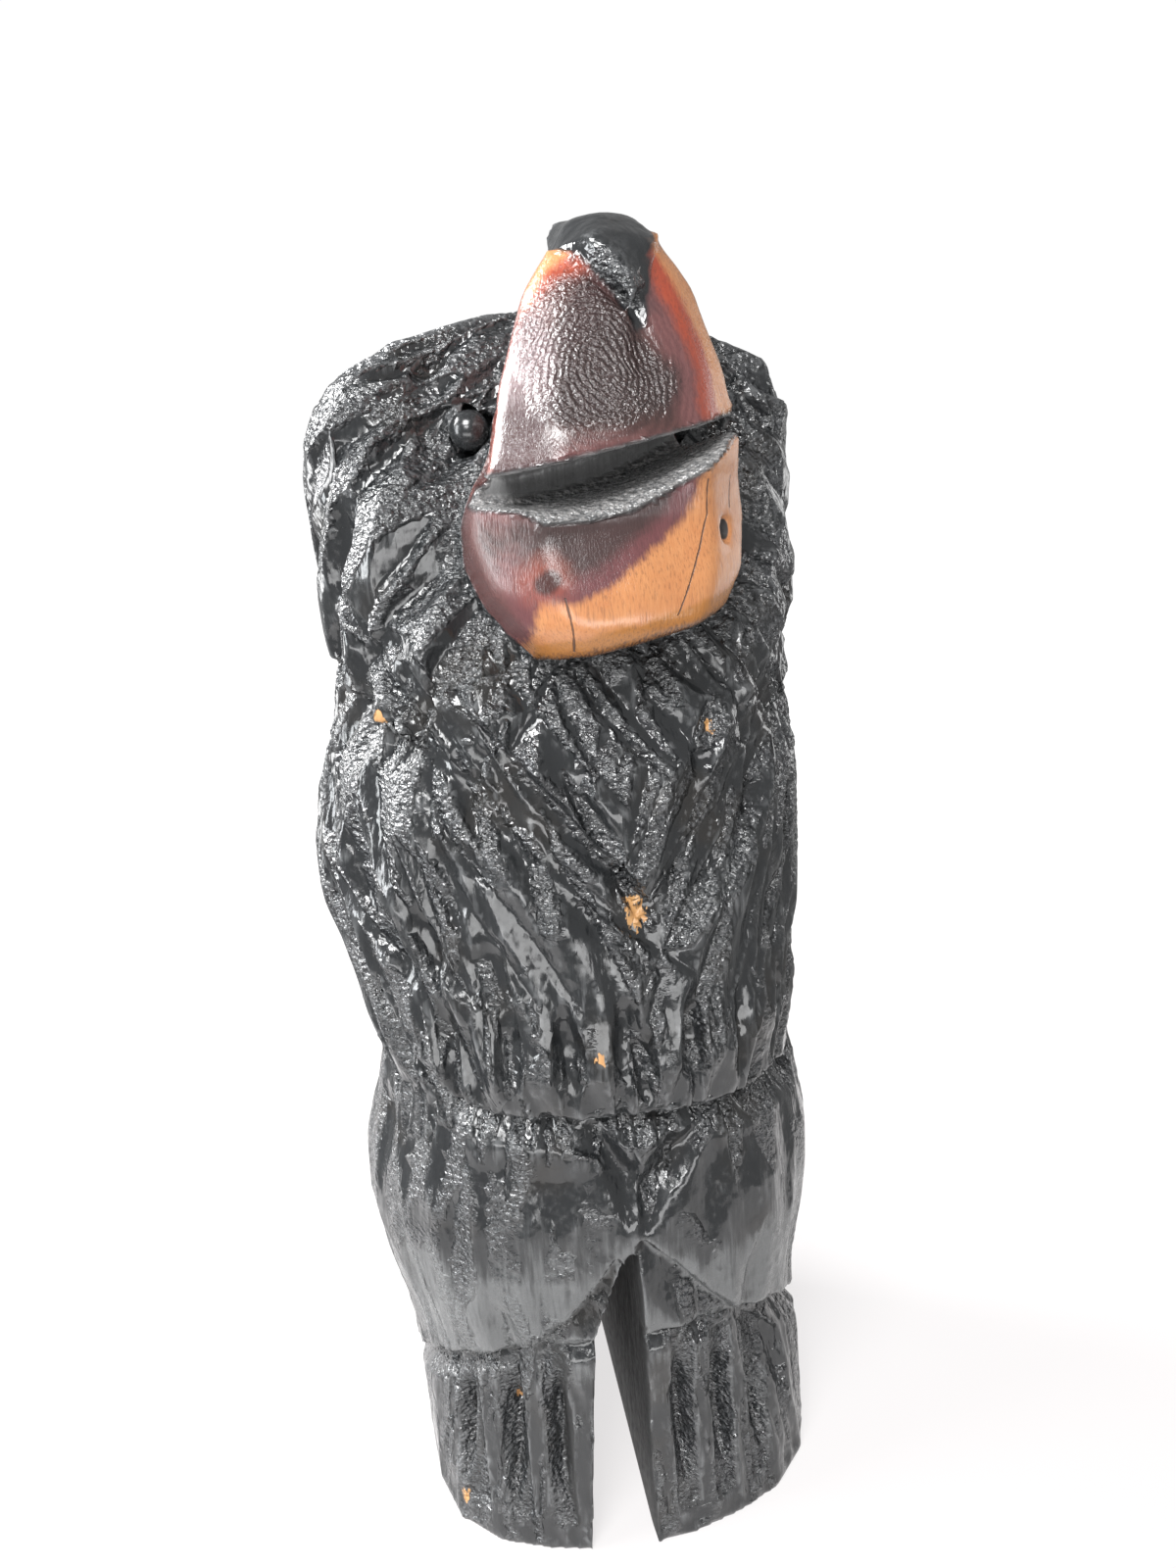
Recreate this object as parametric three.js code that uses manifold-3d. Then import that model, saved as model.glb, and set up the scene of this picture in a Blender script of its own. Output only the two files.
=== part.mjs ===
// A standing bear carved with a chainsaw from one short cedar log. It looks up and a little to its
// left with its mouth open, its hands hang in front of its belly, and two black beads are its eyes.
// Millimetres. The bear faces -Y and stands on z = 0, so its right side is at -X. A turn is an angle
// in degrees about the log's axis, from the front towards +X.
import * as THREE from 'three';
import { mergeVertices } from 'three/addons/utils/BufferGeometryUtils.js';
import Module from 'manifold-3d';

const wasm = await Module();
wasm.setup();

// Driving sizes of the log and of what stands out of it
const bearHeight = 605;
const logRadius = 107;
const crownRise = 46;
const headTurn = 8;
const muzzleWidth = 100;
const lipReach = 5;
const noseWidth = 39;
const noseKerfWidth = 8;
const noseKerfDepth = 4;
const noseDepth = 9;
const noseSideSet = 3;
const noseRoot = 24;

// The eyes: glass beads pressed into bowls beside the muzzle
const beadDiameter = 16;
const beadClearance = 0.3;
const beadSunk = 4.5;
const eyeSpacing = 89;
const eyeBowlDiameter = 36;
const eyeBowlDepth = 8;
const eyeBowlShift = 14;

// The mouth and the saw cut below the chin
const mouthHeight = 27;
const mouthDepth = 50;
const mouthRoofDrop = 2;
const lipBevel = 16;
const lipBevelRise = 9;
const lipTilt = 9.6;
const chinTilt = 11;
const chinRound = 2;

// The gap between the legs, which narrows to a point at the crotch
const gapWidth = 31;
const gapKneeWidth = 21;
const gapLeftFace = 2;
const gapLean = 2;

// Kerfs that part the arms from the belly, the thighs from the shins and the feet from the legs
const handLedgeDepth = 15;
const handLedgeFall = 42;
const thighDepth = 10;
const thighFall = 84;
const ankleDepth = 11;
const ankleFall = 32;
const ankleSideLevel = 52;
const ankleFrontRise = 74;
const kerfEnd = 0.12;

// The creases above the crotch
const creaseWidth = 24;
const creaseDepth = 11;

// Claws and toes
const clawGrooveWidth = 12;
const clawGrooveDepth = 10;
const clawGrooveLength = 68;
const clawGrooveRunOut = 14;
const clawSpacing = 22;
const handSpacing = 79;
const handShift = 4;
const toeGrooveWidth = 12;
const toeGrooveDepth = 12;
const toeGrooveFoot = 16;
const toeGrooveTop = 6;
const toeSpacing = 20.5;
const toeRowSpacing = 103;
const toeRowShift = -10;

// Fur, cut as pointed strokes of a V-shaped groove
const furWidth = 25;
const furDepth = 7.6;
const maneWidth = 21;
const maneDepth = 8;
const maneStrands = 5;
const strokeClearance = 3;
const strokeEndLift = 0.2;
const backSpread = 1.3;

// The mane's lower edge, a ledge that runs down from both shoulders to a tip on the chest
const maneEdgeDepth = 8;
const maneEdgeFall = 46;
const maneEdgeTurn = 9;
const maneEdgeRise = 6;

// Heights as shares of the bear's height
const shares = {
  crownEdge: 0.876,
  eye: 0.876,
  upperLip: 0.864,
  chin: 0.742,
  maneTop: 0.81,
  maneTip: 0.519,
  maneEdge: 0.557,
  maneInnerTop: 0.7,
  maneInnerTip: 0.6,
  crotch: 0.296,
  knee: 0.21,
};

// How far a cut runs on past the wood
const overrun = 10;

// Facets of the log
const logSides = 28;
const logStep = 27;
const crownSteps = 3;
const strokeSteps = 3;

const radians = THREE.MathUtils.degToRad;
const lerp = THREE.MathUtils.lerp;
const up = (share) => share * bearHeight;

// A value that runs straight from stop to stop; each stop is [share, value].
function between(stops, share) {
  const last = stops.length - 1;
  if (share <= stops[0][0]) {
    return stops[0][1];
  }
  for (let i = 1; i <= last; i += 1) {
    const [low, lowValue] = stops[i - 1];
    const [high, highValue] = stops[i];
    if (share < high) {
      return lerp(lowValue, highValue, (share - low) / (high - low));
    }
  }
  return stops[last][1];
}

// The same for a level, with stops at shares of the bear's height
const track = (stops, level) => between(stops, level / bearHeight);

// A repeatable random number between -1 and 1, for the unevenness of handwork
function makeWobble(seed) {
  let state = seed;
  return () => {
    state = (Math.imul(state, 1664525) + 1013904223) >>> 0;
    return state / 2147483648 - 1;
  };
}

// Solids from sections

// Triangles as one solid with its faces pointing out
function solidFrom(positions, triangles) {
  let geometry = new THREE.BufferGeometry();
  geometry.setAttribute('position', new THREE.Float32BufferAttribute(positions, 3));
  geometry.setIndex(triangles);
  geometry = mergeVertices(geometry, 1e-4);
  const points = geometry.getAttribute('position').array;
  const corners = [...geometry.getIndex().array];
  if (signedVolume(points, corners) < 0) {
    corners.reverse();
  }
  return new wasm.Manifold(new wasm.Mesh({
    numProp: 3,
    vertProperties: new Float32Array(points),
    triVerts: new Uint32Array(corners),
  }));
}

function signedVolume(points, corners) {
  const [a, b, c] = [new THREE.Vector3(), new THREE.Vector3(), new THREE.Vector3()];
  let volume = 0;
  for (let i = 0; i < corners.length; i += 3) {
    a.fromArray(points, corners[i] * 3);
    b.fromArray(points, corners[i + 1] * 3);
    c.fromArray(points, corners[i + 2] * 3);
    volume += a.dot(b.cross(c)) / 6;
  }
  return volume;
}

// A closed skin over rings that all have the same number of points
function loft(rings) {
  const size = rings[0].length;
  const positions = rings.flat().flatMap((point) => point.toArray());
  const triangles = [];
  for (let ring = 0; ring + 1 < rings.length; ring += 1) {
    for (let i = 0; i < size; i += 1) {
      const here = ring * size + i;
      const next = ring * size + (i + 1) % size;
      triangles.push(here, next, next + size, here, next + size, here + size);
    }
  }
  for (const end of [0, rings.length - 1]) {
    const middle = new THREE.Vector3();
    rings[end].forEach((point) => middle.addScaledVector(point, 1 / size));
    const centre = positions.length / 3;
    positions.push(...middle.toArray());
    for (let i = 0; i < size; i += 1) {
      const pair = [end * size + i, end * size + (i + 1) % size];
      triangles.push(centre, ...(end === 0 ? pair.reverse() : pair));
    }
  }
  return solidFrom(positions, triangles);
}

function ball(diameter, centre) {
  const geometry = new THREE.SphereGeometry(diameter / 2, 14, 9);
  geometry.deleteAttribute('normal');
  geometry.deleteAttribute('uv');
  geometry.translate(...centre.toArray());
  const merged = mergeVertices(geometry, 1e-4);
  return solidFrom([...merged.getAttribute('position').array], [...merged.getIndex().array]);
}

// The rough form of the log

// Swells and hollows: where they are, how far they reach round and up, and how far they stand out
const everywhere = Infinity;
const swells = [
  { part: 'right upper arm', turn: -100, level: 0.56, wide: 52, tall: 0.1, rise: 19 },
  { part: 'left upper arm', turn: 92, level: 0.58, wide: 40, tall: 0.09, rise: 3 },
  { part: 'right hip', turn: -100, level: 0.265, wide: 48, tall: 0.09, rise: 13 },
  { part: 'left hip', turn: 92, level: 0.29, wide: 44, tall: 0.08, rise: 5 },
  { part: 'right thigh', turn: -38, level: 0.27, wide: 26, tall: 0.075, rise: 5 },
  { part: 'left thigh', turn: 36, level: 0.27, wide: 26, tall: 0.075, rise: 4 },
  { part: 'right hand', turn: -24, level: 0.43, wide: 30, tall: 0.05, rise: 9 },
  { part: 'left hand', turn: 28, level: 0.42, wide: 26, tall: 0.05, rise: 8 },
  { part: 'waist', turn: 0, level: 0.378, wide: everywhere, tall: 0.03, rise: -7 },
  { part: 'nape', turn: 180, level: 0.69, wide: 105, tall: 0.03, rise: -9 },
  { part: 'shoulder blades', turn: 180, level: 0.6, wide: 62, tall: 0.07, rise: 6 },
  { part: 'rump', turn: 180, level: 0.28, wide: 60, tall: 0.08, rise: 8 },
  { part: 'cheeks', turn: 180, level: 0.79, wide: 130, tall: 0.07, rise: 3 },
  { part: 'ankles', turn: 0, level: 0.15, wide: everywhere, tall: 0.03, rise: -3 },
  { part: 'feet', turn: 0, level: 0.0, wide: everywhere, tall: 0.07, rise: 2 },
  { part: 'right toes', turn: -48, level: 0.0, wide: 20, tall: 0.1, rise: 9 },
  { part: 'left toes', turn: 45, level: 0.0, wide: 20, tall: 0.1, rise: 8 },
  { part: 'right foot side', turn: -92, level: 0.0, wide: 26, tall: 0.08, rise: -7 },
  { part: 'left foot side', turn: 90, level: 0.0, wide: 26, tall: 0.08, rise: -6 },
];

// How far the sawn face lies behind the log's round, by height
const faceSetback = [
  [0.63, -8], [0.66, 6], [0.727, 27], [0.79, 50], [0.876, 61], [0.926, 76], [0.955, 92],
];

const wrapTurn = (turn) => THREE.MathUtils.euclideanModulo(turn + 180, 360) - 180;

function swellAt(turn, level) {
  return swells.reduce((sum, swell) => {
    const across = wrapTurn(turn - swell.turn) / swell.wide;
    const along = (level - up(swell.level)) / up(swell.tall);
    return sum + swell.rise * Math.exp(-across * across - along * along);
  }, 0);
}

function faceReach(level) {
  return logRadius - track(faceSetback, level);
}

// A point in the log's round: turn, distance from the axis and height
function polar(turn, reach, level) {
  const angle = radians(turn);
  return new THREE.Vector3(Math.sin(angle) * reach, -Math.cos(angle) * reach, level);
}

// A point on the log's surface. The climb is the height up to the crown's edge, and from there it
// runs on along the crown, which is reached in full at topClimb.
const crownArc = logRadius;
const topClimb = up(shares.crownEdge) + crownArc;

function surfacePoint(turn, climb) {
  const past = Math.max(0, climb - up(shares.crownEdge)) / crownArc;
  const bend = Math.min(past, 0.98) * Math.PI / 2;
  const level = Math.min(climb, up(shares.crownEdge)) + crownRise * Math.sin(bend);
  const round = (logRadius + swellAt(turn, level)) * Math.cos(bend) ** 0.9;
  const facing = Math.cos(radians(turn - headTurn));
  const reach = facing > 0 ? Math.min(round, faceReach(level) / facing) : round;
  return polar(turn, reach, level);
}

// The direction straight out of the surface at a point
function surfaceNormal(turn, climb) {
  const step = 3;
  const across = surfacePoint(turn + step, climb).sub(surfacePoint(turn - step, climb));
  const along = surfacePoint(turn, climb + step).sub(surfacePoint(turn, climb - step));
  return across.cross(along).normalize();
}

function makeLog() {
  const climbs = [];
  const rows = Math.round(up(shares.crownEdge) / logStep);
  for (let row = 0; row <= rows; row += 1) {
    climbs.push(up(shares.crownEdge) * row / rows);
  }
  for (let row = 1; row <= crownSteps; row += 1) {
    climbs.push(up(shares.crownEdge) + crownArc * row / (crownSteps + 0.4));
  }
  return loft(climbs.map((climb) => Array.from({ length: logSides }, (_, side) => {
    return surfacePoint(side * 360 / logSides, climb);
  })));
}

// The muzzle, in its own frame: across to the bear's left, out from the log's axis, and up
function muzzlePoint(across, out, level) {
  const angle = radians(headTurn);
  return new THREE.Vector3(
    across * Math.cos(angle) + out * Math.sin(angle),
    across * Math.sin(angle) - out * Math.cos(angle),
    level,
  );
}

// Its front, measured from the log's round, its half width as a share of its full half width, and
// how far back its top reaches
const muzzleFront = [
  [0.735, -2], [0.757, 5], [0.775, 4], [0.815, -5], [0.838, -3], [0.855, lipReach], [0.872, -1],
  [0.931, -16], [0.985, -28], [1, -40],
];
const muzzleSpread = [
  [0.735, 0.62], [0.757, 0.82], [0.78, 1.02], [0.82, 1.15], [0.855, 1], [0.9, 0.92], [0.955, 0.68],
  [0.985, 0.42], [1, 0.16],
];
const muzzleBack = [[0.7, 20], [0.9, 10], [0.94, -24], [0.96, 8], [0.985, 42], [1, 52]];
const muzzleWaist = [[0.735, 1.4], [0.757, 1.22], [0.78, 1.06], [0.826, 0.9], [0.89, 0.77], [0.95, 0.56]];
const muzzleSway = [[0.85, 0], [0.9, 4], [0.955, 6.5], [1, 7]];
const muzzleLevels = [
  0.7, 0.735, 0.757, 0.78, 0.815, 0.838, 0.855, 0.872, 0.9, 0.931, 0.955, 0.972, 0.988, 1,
];

function muzzleSection(level) {
  const half = muzzleWidth / 2 * track(muzzleSpread, level);
  const front = logRadius + track(muzzleFront, level);
  const back = Math.min(track(muzzleBack, level), front - half * 0.5);
  const shoulder = Math.max(front - half * 0.36, lerp(back, front, 0.6));
  const root = lerp(back, shoulder, 0.45);
  const waist = half * track(muzzleWaist, level);
  const outline = [
    [-0.6 * half, front], [0, front + half * 0.06], [0.6 * half, front], [half, shoulder],
    [waist, root], [0.8 * waist, back], [-0.8 * waist, back], [-waist, root], [-half, shoulder],
  ];
  const sway = track(muzzleSway, level);
  return outline.map(([across, out]) => muzzlePoint(across + sway, out, level));
}

// A prism whose outline is given in the muzzle's side view, as [out, height], run across the muzzle
function acrossMuzzle(outlines) {
  return loft(outlines.map(({ across, points }) => {
    return points.map(([out, level]) => muzzlePoint(across, out, level));
  }));
}

// How far the mouth opens, as a share of its height, at shares of the muzzle's half width
const mouthOpening = [
  [-1.5, 0.35], [-1, 0.62], [-0.62, 0.93], [-0.3, 1], [0.05, 0.95], [0.4, 0.79], [0.86, 0.43], [1.5, 0.2],
];

// The saw cut that makes the mouth: level above and below, with a bevel along the lower lip
function makeMouth() {
  const front = logRadius + lipReach;
  return acrossMuzzle(mouthOpening.map(([share, opening]) => {
    const across = share * muzzleWidth / 2;
    const lip = up(shares.upperLip) + across * Math.tan(radians(lipTilt));
    const lower = lip - opening * mouthHeight;
    const rise = opening * lipBevelRise;
    return {
      across,
      points: [
        [front - mouthDepth, lip - mouthRoofDrop],
        [front - mouthDepth, lower + rise],
        [front - lipBevel, lower + rise],
        [front + overrun, lower - rise * overrun / lipBevel],
        [front + overrun, lip],
      ],
    };
  }));
}

// The kerf below the nose's ridge, and the one that runs on from its tip down the lip
function noseKerfs() {
  const normal = muzzlePoint(0, 1, 0.4).normalize();
  const half = noseWidth / 2;
  const lines = [
    [[-half, 0.972], [half * 0.1, 0.945], [half * 0.6, 0.92]],
    [[half * 0.2, 0.94], [half * 0.3, 0.915], [half * 0.3, 0.89]],
  ];
  return lines.map((line) => {
    const points = line.map(([across, share]) => {
      const level = up(share);
      const front = logRadius + track(muzzleFront, level);
      return muzzlePoint(across + track(muzzleSway, level), front, level);
    });
    return groove(points, points.map(() => normal), noseKerfWidth, noseKerfDepth, 0.8);
  });
}

// What the saw took away below the chin
function makeUnderChin() {
  const outer = logRadius * 2;
  const outlines = [-muzzleWidth, muzzleWidth].map((across) => {
    const level = up(shares.chin) + across * Math.tan(radians(chinTilt));
    return {
      across,
      points: [
        [0, level - chinRound], [0, 0], [outer, 0], [outer, level - chinRound], [logRadius, level],
      ],
    };
  });
  return acrossMuzzle(outlines);
}

// The nose: a wedge with a ridge that runs from its upper right corner down to its tip
function makeNose() {
  const rows = [
    { level: 0.93, half: 0.1, ridge: 0.3, stand: 0.3 },
    { level: 0.95, half: 0.42, ridge: 0.3, stand: 0.8 },
    { level: 0.968, half: 0.75, ridge: -0.1, stand: 1 },
    { level: 0.985, half: 1, ridge: -0.6, stand: 0.8 },
    { level: 0.994, half: 0.86, ridge: -0.4, stand: 0.4 },
    { level: 1, half: 0.62, ridge: 0, stand: 0.1 },
  ];
  return loft(rows.map(({ level, half, ridge, stand }) => {
    const front = logRadius + track(muzzleFront, up(level));
    const reach = half * noseWidth / 2;
    const outline = [
      [-reach, front - noseSideSet], [ridge * reach, front + stand * noseDepth], [reach, front],
      [reach, front - noseRoot], [-reach, front - noseRoot],
    ];
    const sway = track(muzzleSway, up(level));
    return outline.map(([across, out]) => muzzlePoint(across + sway, out, up(level)));
  }));
}

// Cuts that follow the surface

// A V-shaped groove along points of a surface, each with its normal. It narrows and runs out at
// both ends; fullness below 1 keeps it deep for more of its length.
function groove(points, normals, width, depth, fullness) {
  const last = points.length - 1;
  const slope = width / 2 / depth;
  const rings = points.map((point, i) => {
    const ahead = points[Math.min(last, i + 1)].clone().sub(points[Math.max(0, i - 1)]);
    const normal = normals[i];
    const side = ahead.cross(normal).normalize();
    const share = Math.max(0, Math.sin(Math.PI * i / last)) ** fullness;
    const bottom = point.clone().addScaledVector(normal, strokeEndLift - depth * share);
    const rise = depth * share + strokeClearance;
    const top = bottom.clone().addScaledVector(normal, rise);
    return [
      bottom,
      top.clone().addScaledVector(side, rise * slope),
      top.clone().addScaledVector(side, -rise * slope),
    ];
  });
  return loft(rings);
}

// A groove along places on the log's surface, each given as [turn, climb]
function stroke(places, width, depth, fullness = 0.8) {
  const points = places.map((place) => surfacePoint(...place));
  return groove(points, places.map((place) => surfaceNormal(...place)), width, depth, fullness);
}

// Places from one [turn, climb] to another, with a sideways bow in degrees
function run(from, to, steps, bow = 0) {
  return Array.from({ length: steps + 1 }, (_, i) => {
    const share = i / steps;
    return [lerp(from[0], to[0], share) + bow * Math.sin(Math.PI * share), lerp(from[1], to[1], share)];
  });
}

// Rows of staggered strokes. The lean says how many degrees a stroke shifts on its way down, for
// a place at that turn from the front of the head.
function furRows({
  levels, from, to, spacing, length, lean, skip, seed, width = furWidth, depth = furDepth,
}) {
  const wobble = makeWobble(seed);
  const strokes = [];
  levels.forEach((level, row) => {
    let turn = from + (row % 2) * spacing / 2;
    while (turn <= to) {
      const middle = turn + wobble() * spacing * 0.16;
      const climb = up(level) + wobble() * length * 0.12;
      const half = length / 2 * (1 + wobble() * 0.15);
      const shift = lean(wrapTurn(middle - headTurn), climb) / 2;
      const bow = wobble() * 3;
      if (!skip || !skip(wrapTurn(middle - headTurn), climb)) {
        const places = run([middle - shift, climb + half], [middle + shift, climb - half], strokeSteps, bow);
        strokes.push(stroke(places, width * (1 + wobble() * 0.15), depth * (1 + wobble() * 0.2)));
      }
      turn += Math.abs(wrapTurn(turn)) > 95 ? spacing * backSpread : spacing;
    }
  });
  return strokes;
}

// The turns at which a row that goes round the whole log starts and ends
const allRound = { from: -166, to: 180 };

// On the head the strokes run down and away from the muzzle, on the back straight down.
function headFur() {
  const outward = (facing) => Math.sign(facing) * lerp(17, 3, Math.min(1, Math.abs(facing) / 150));
  return furRows({
    levels: [0.875, 0.81, 0.745, 0.68],
    ...allRound,
    spacing: 24,
    length: 62,
    lean: outward,
    skip: (facing, climb) => Math.abs(facing) < (climb > up(shares.chin) ? 52 : 66),
    seed: 11,
  });
}

// On the crown they run from the middle down over the edge.
function crownFur() {
  const wobble = makeWobble(5);
  const count = 9;
  const strokes = [];
  for (let i = 0; i < count; i += 1) {
    const turn = headTurn + (i + 0.5) * 360 / count + wobble() * 4;
    const inner = topClimb - crownArc * (0.32 + 0.1 * wobble());
    const outer = up(shares.crownEdge) + crownArc * 0.12;
    strokes.push(stroke(run([turn, inner], [turn + 5, outer], strokeSteps), furWidth * 1.15, furDepth));
  }
  return strokes;
}

// Long strokes of the mane, from beside the jaw down to one tip on the chest
function mane() {
  const steps = 4;
  return [-1, 1].flatMap((side) => Array.from({ length: maneStrands }, (_, strand) => {
    const inward = strand / maneStrands;
    const widest = lerp(76, 8, inward);
    const top = up(lerp(shares.maneTop, shares.maneInnerTop, Math.min(1, inward * 1.6)));
    const tip = up(lerp(shares.maneTip, shares.maneInnerTip, inward));
    const places = Array.from({ length: steps + 1 }, (__, i) => {
      const share = i / steps;
      return [headTurn + side * (widest * (1 - share ** 1.25) + 2), lerp(top, tip, share)];
    });
    return stroke(places, maneWidth, maneDepth, 0.5);
  }));
}

// The arms, sides and back below the mane, down to the waist
function bodyFur() {
  const forward = (facing) => -Math.sign(facing) * (Math.abs(facing) < 100 ? 9 : 2);
  return furRows({
    levels: [0.6, 0.53, 0.45],
    ...allRound,
    spacing: 27,
    length: 72,
    lean: forward,
    skip: (facing, climb) => Math.abs(facing) < lerp(40, 66, (climb - up(0.42)) / up(0.2)),
    seed: 23,
  });
}

// The forearms between the mane's tip and the hands
function forearmFur() {
  return furRows({
    levels: [0.58, 0.525],
    from: -56,
    to: 64,
    spacing: 19,
    length: 52,
    lean: (facing) => -Math.sign(facing) * 5,
    skip: (facing, climb) => Math.abs(facing) < lerp(13, 40, (climb - up(0.5)) / up(0.1)),
    seed: 37,
    width: furWidth * 0.8,
  });
}

// Long shallow strokes down the thighs, hips and rump
function legFur() {
  return furRows({
    levels: [0.32, 0.205],
    ...allRound,
    spacing: 33,
    length: 84,
    lean: (facing) => -Math.sign(facing) * 5,
    skip: (facing) => Math.abs(facing + headTurn) < 14,
    seed: 41,
    width: furWidth * 1.15,
    depth: furDepth * 0.6,
  });
}

// The creases between the belly and the thighs run down to the crotch, each given as [turn, share
// of the height].
const thighCreaseLines = [
  [[-24, 0.415], [-8, 0.385], [-1, 0.35], [-1, 0.3]],
  [[24, 0.39], [13, 0.36], [5, 0.335], [2, 0.29]],
];

function thighCreases() {
  return thighCreaseLines.map((line) => {
    return stroke(line.map(([turn, share]) => [turn, up(share)]), creaseWidth, creaseDepth, 0.5);
  });
}

// A kerf with a flat roof, run round the log between two turns. Its floor falls away outwards.
function kerf({ from, to, steps, depth, fall, levelAt }) {
  return loft(Array.from({ length: steps + 1 }, (_, i) => {
    const turn = lerp(from, to, i / steps);
    const level = levelAt(turn);
    const fade = Math.sin(Math.PI * lerp(kerfEnd, 1 - kerfEnd, i / steps)) ** 0.4;
    const point = surfacePoint(turn, level);
    const reach = Math.hypot(point.x, point.y);
    const outer = reach + depth;
    const inner = reach - depth * fade;
    return [
      polar(turn, inner, level),
      polar(turn, outer, level),
      polar(turn, outer, level - fall * (outer - inner) / depth / 2),
    ];
  }));
}

const maneEdge = (turn) => up(shares.maneEdge) + maneEdgeRise * Math.abs(turn - maneEdgeTurn) ** 0.62;

// Edges that overhang what is below them, each as [turn, share of the height]: the right arm's outer
// edge with both hands' lower edges, and the thighs' lower edges
const handEdge = [[-84, 0.55], [-68, 0.48], [-42, 0.404], [0, 0.402], [68, 0.38]];
const rightThighEdge = [[-34, 0.175], [-14, 0.241], [-3, 0.29]];
const leftThighEdge = [[1, 0.3], [10, 0.269], [24, 0.211], [48, 0.135]];

const handLedge = (turn) => up(between(handEdge, turn));
const ankleLevel = (turn) => ankleSideLevel + ankleFrontRise * Math.max(0, Math.cos(radians(turn)));

// The thighs overhang the shins, which fall away below them.
function thighKerf(edge) {
  return kerf({
    from: edge[0][0],
    to: edge.at(-1)[0],
    steps: 5,
    depth: thighDepth,
    fall: thighFall,
    levelAt: (turn) => up(between(edge, turn)),
  });
}

// Upright grooves side by side. Their places across are worked out on the log's round.
function grooveRow({ middle, count, spacing, top, foot, width, depth, splay }) {
  return Array.from({ length: count }, (_, i) => {
    const offset = (i - (count - 1) / 2) * spacing;
    const turn = THREE.MathUtils.radToDeg(Math.asin((middle + offset) / logRadius));
    const lean = offset * splay;
    return stroke(run([turn + lean, top(turn)], [turn, foot(turn)], 3), width, depth, 0.35);
  });
}

// Five fingers on each hand, parted by grooves that run out through the ledge below them
function handGrooves() {
  return [-1, 1].flatMap((side) => grooveRow({
    middle: handShift + side * handSpacing / 2,
    count: 4,
    spacing: clawSpacing,
    top: (turn) => handLedge(turn) + clawGrooveLength,
    foot: (turn) => handLedge(turn) - clawGrooveRunOut,
    width: clawGrooveWidth,
    depth: clawGrooveDepth,
    splay: 0.1,
  }));
}

// Four toes on each foot
function toeGrooves() {
  return [-1, 1].flatMap((side) => grooveRow({
    middle: toeRowShift + side * toeRowSpacing / 2,
    count: 3,
    spacing: toeSpacing,
    top: (turn) => ankleLevel(turn) - toeGrooveTop,
    foot: () => toeGrooveFoot,
    width: toeGrooveWidth,
    depth: toeGrooveDepth,
    splay: 0.05,
  }));
}

// The gap between the legs, right through the log
function makeLegGap() {
  const outline = [
    [gapLeftFace - gapWidth, -overrun],
    [gapLeftFace, -overrun],
    [gapLeftFace, up(shares.knee)],
    [gapLeftFace - gapLean, up(shares.crotch)],
    [gapLeftFace - gapKneeWidth, up(shares.knee)],
  ];
  return loft([-2, 2].map((share) => outline.map(([x, z]) => {
    return new THREE.Vector3(x, share * logRadius, z);
  })));
}

// The eyes

function eyeCentre(side) {
  const level = up(shares.eye);
  const out = faceReach(level) - eyeBowlDepth - beadSunk + beadDiameter / 2;
  return muzzlePoint(side * eyeSpacing / 2, out, level);
}

function eyeBowl(side) {
  const level = up(shares.eye);
  const bowlRadius = (eyeBowlDiameter ** 2 / 4 + eyeBowlDepth ** 2) / (2 * eyeBowlDepth);
  const out = faceReach(level) - eyeBowlDepth + bowlRadius;
  return ball(bowlRadius * 2, muzzlePoint(side * (eyeSpacing / 2 + eyeBowlShift), out, level));
}

// Assembly

const carvedForms = makeLog()
  .add(loft(muzzleLevels.map((share) => muzzleSection(up(share)))).subtract(makeUnderChin()))
  .add(makeNose());

const sides = [-1, 1];
const cuts = [
  ...headFur(),
  ...crownFur(),
  ...bodyFur(),
  ...forearmFur(),
  ...legFur(),
  ...mane(),
  kerf({ from: -96, to: 102, steps: 17, depth: maneEdgeDepth, fall: maneEdgeFall, levelAt: maneEdge }),
  kerf({ from: -84, to: 68, steps: 15, depth: handLedgeDepth, fall: handLedgeFall, levelAt: handLedge }),
  ...[rightThighEdge, leftThighEdge].map((edge) => thighKerf(edge)),
  kerf({ from: -104, to: -6, steps: 9, depth: ankleDepth, fall: ankleFall, levelAt: ankleLevel }),
  kerf({ from: -3, to: 98, steps: 9, depth: ankleDepth, fall: ankleFall, levelAt: ankleLevel }),
  ...handGrooves(),
  ...toeGrooves(),
  ...thighCreases(),
  makeLegGap(),
  makeMouth(),
  ...noseKerfs(),
  ...sides.map((side) => eyeBowl(side)),
  ...sides.map((side) => ball(beadDiameter + 2 * beadClearance, eyeCentre(side))),
];

// The carved log, without the chips that crossing cuts leave loose
const carved = cuts.reduce((solid, cut) => solid.subtract(cut), carvedForms);
const bear = carved.decompose().reduce((kept, body) => (body.volume() > kept.volume() ? body : kept));

// A solid as a mesh with its own material
function meshOf(name, solid, material) {
  const { numProp, vertProperties, triVerts } = solid.getMesh();
  const geometry = new THREE.BufferGeometry();
  const positions = new Float32Array(vertProperties.length / numProp * 3);
  for (let i = 0; i < positions.length / 3; i += 1) {
    positions.set(vertProperties.subarray(i * numProp, i * numProp + 3), i * 3);
  }
  geometry.setAttribute('position', new THREE.BufferAttribute(positions, 3));
  geometry.setIndex([...triVerts]);
  const mesh = new THREE.Mesh(geometry, material);
  mesh.name = name;
  return mesh;
}

const blackVarnish = new THREE.MeshStandardMaterial({ color: 0x15171a, roughness: 0.22, metalness: 0 });
const blackGlass = new THREE.MeshStandardMaterial({ color: 0x050506, roughness: 0.05, metalness: 0 });

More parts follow.
